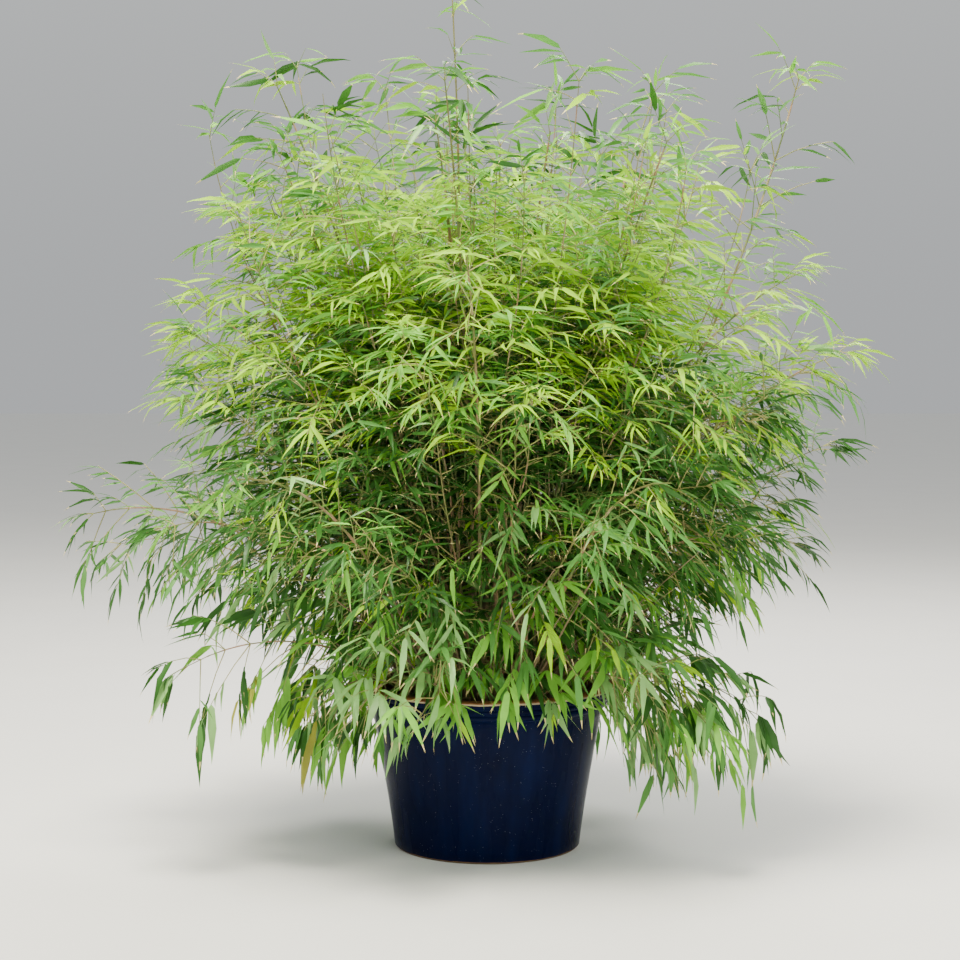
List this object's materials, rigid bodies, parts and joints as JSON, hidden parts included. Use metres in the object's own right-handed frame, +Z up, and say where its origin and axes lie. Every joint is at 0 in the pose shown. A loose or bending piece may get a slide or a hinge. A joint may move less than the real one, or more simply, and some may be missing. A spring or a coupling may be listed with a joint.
{
  "type": "potted bamboo",
  "caption": "Bushy clump of fine-leaved bamboo fanning out of a round dark blue glazed patio pot with a grooved lip, for a terrace or garden",
  "frame": {"origin": "centre of the pot's flat underside, on the ground", "axes": "+Z up along the pot's axis, -Y towards the viewer of the front, +X to the viewer's right"},
  "size_m": [1.7724, 1.5648, 1.8199],
  "materials": {
    "pot_glaze": "glossy dark blue glaze",
    "soil": "dark crumbly potting soil",
    "cane": "smooth tan and olive canes with pinkish sheaths",
    "foliage": "thin satin green leaves with dry straw tips"
  },
  "bodies": {
    "root": {"pot": "pot_glaze", "soil": "soil", "cane_heart_1": "cane", "foliage_heart_1": "foliage", "cane_heart_2": "cane", "foliage_heart_2": "foliage", "cane_heart_3": "cane", "foliage_heart_3": "foliage", "cane_crown_1": "cane", "foliage_crown_1": "foliage", "cane_crown_2": "cane", "foliage_crown_2": "foliage", "cane_crown_3": "cane", "foliage_crown_3": "foliage", "cane_crown_4": "cane", "foliage_crown_4": "foliage", "cane_crown_5": "cane", "foliage_crown_5": "foliage", "cane_high_1": "cane", "foliage_high_1": "foliage", "cane_high_2": "cane", "foliage_high_2": "foliage", "cane_high_3": "cane", "foliage_high_3": "foliage", "cane_high_4": "cane", "foliage_high_4": "foliage", "cane_high_5": "cane", "foliage_high_5": "foliage", "cane_shoulder_1": "cane", "foliage_shoulder_1": "foliage", "cane_shoulder_2": "cane", "foliage_shoulder_2": "foliage", "cane_shoulder_3": "cane", "foliage_shoulder_3": "foliage", "cane_shoulder_4": "cane", "foliage_shoulder_4": "foliage", "cane_shoulder_5": "cane", "foliage_shoulder_5": "foliage", "cane_skirt_1": "cane", "foliage_skirt_1": "foliage", "cane_skirt_2": "cane", "foliage_skirt_2": "foliage", "cane_skirt_3": "cane", "foliage_skirt_3": "foliage", "cane_skirt_4": "cane", "foliage_skirt_4": "foliage", "cane_long_top": "cane", "foliage_long_top": "foliage", "cane_long_right": "cane", "foliage_long_right": "foliage", "cane_spray_left": "cane", "foliage_spray_left": "foliage", "cane_spray_right": "cane", "foliage_spray_right": "foliage", "cane_droop_left": "cane", "foliage_droop_left": "foliage", "cane_droop_right": "cane", "foliage_droop_right": "foliage"}
  },
  "joints": []
}
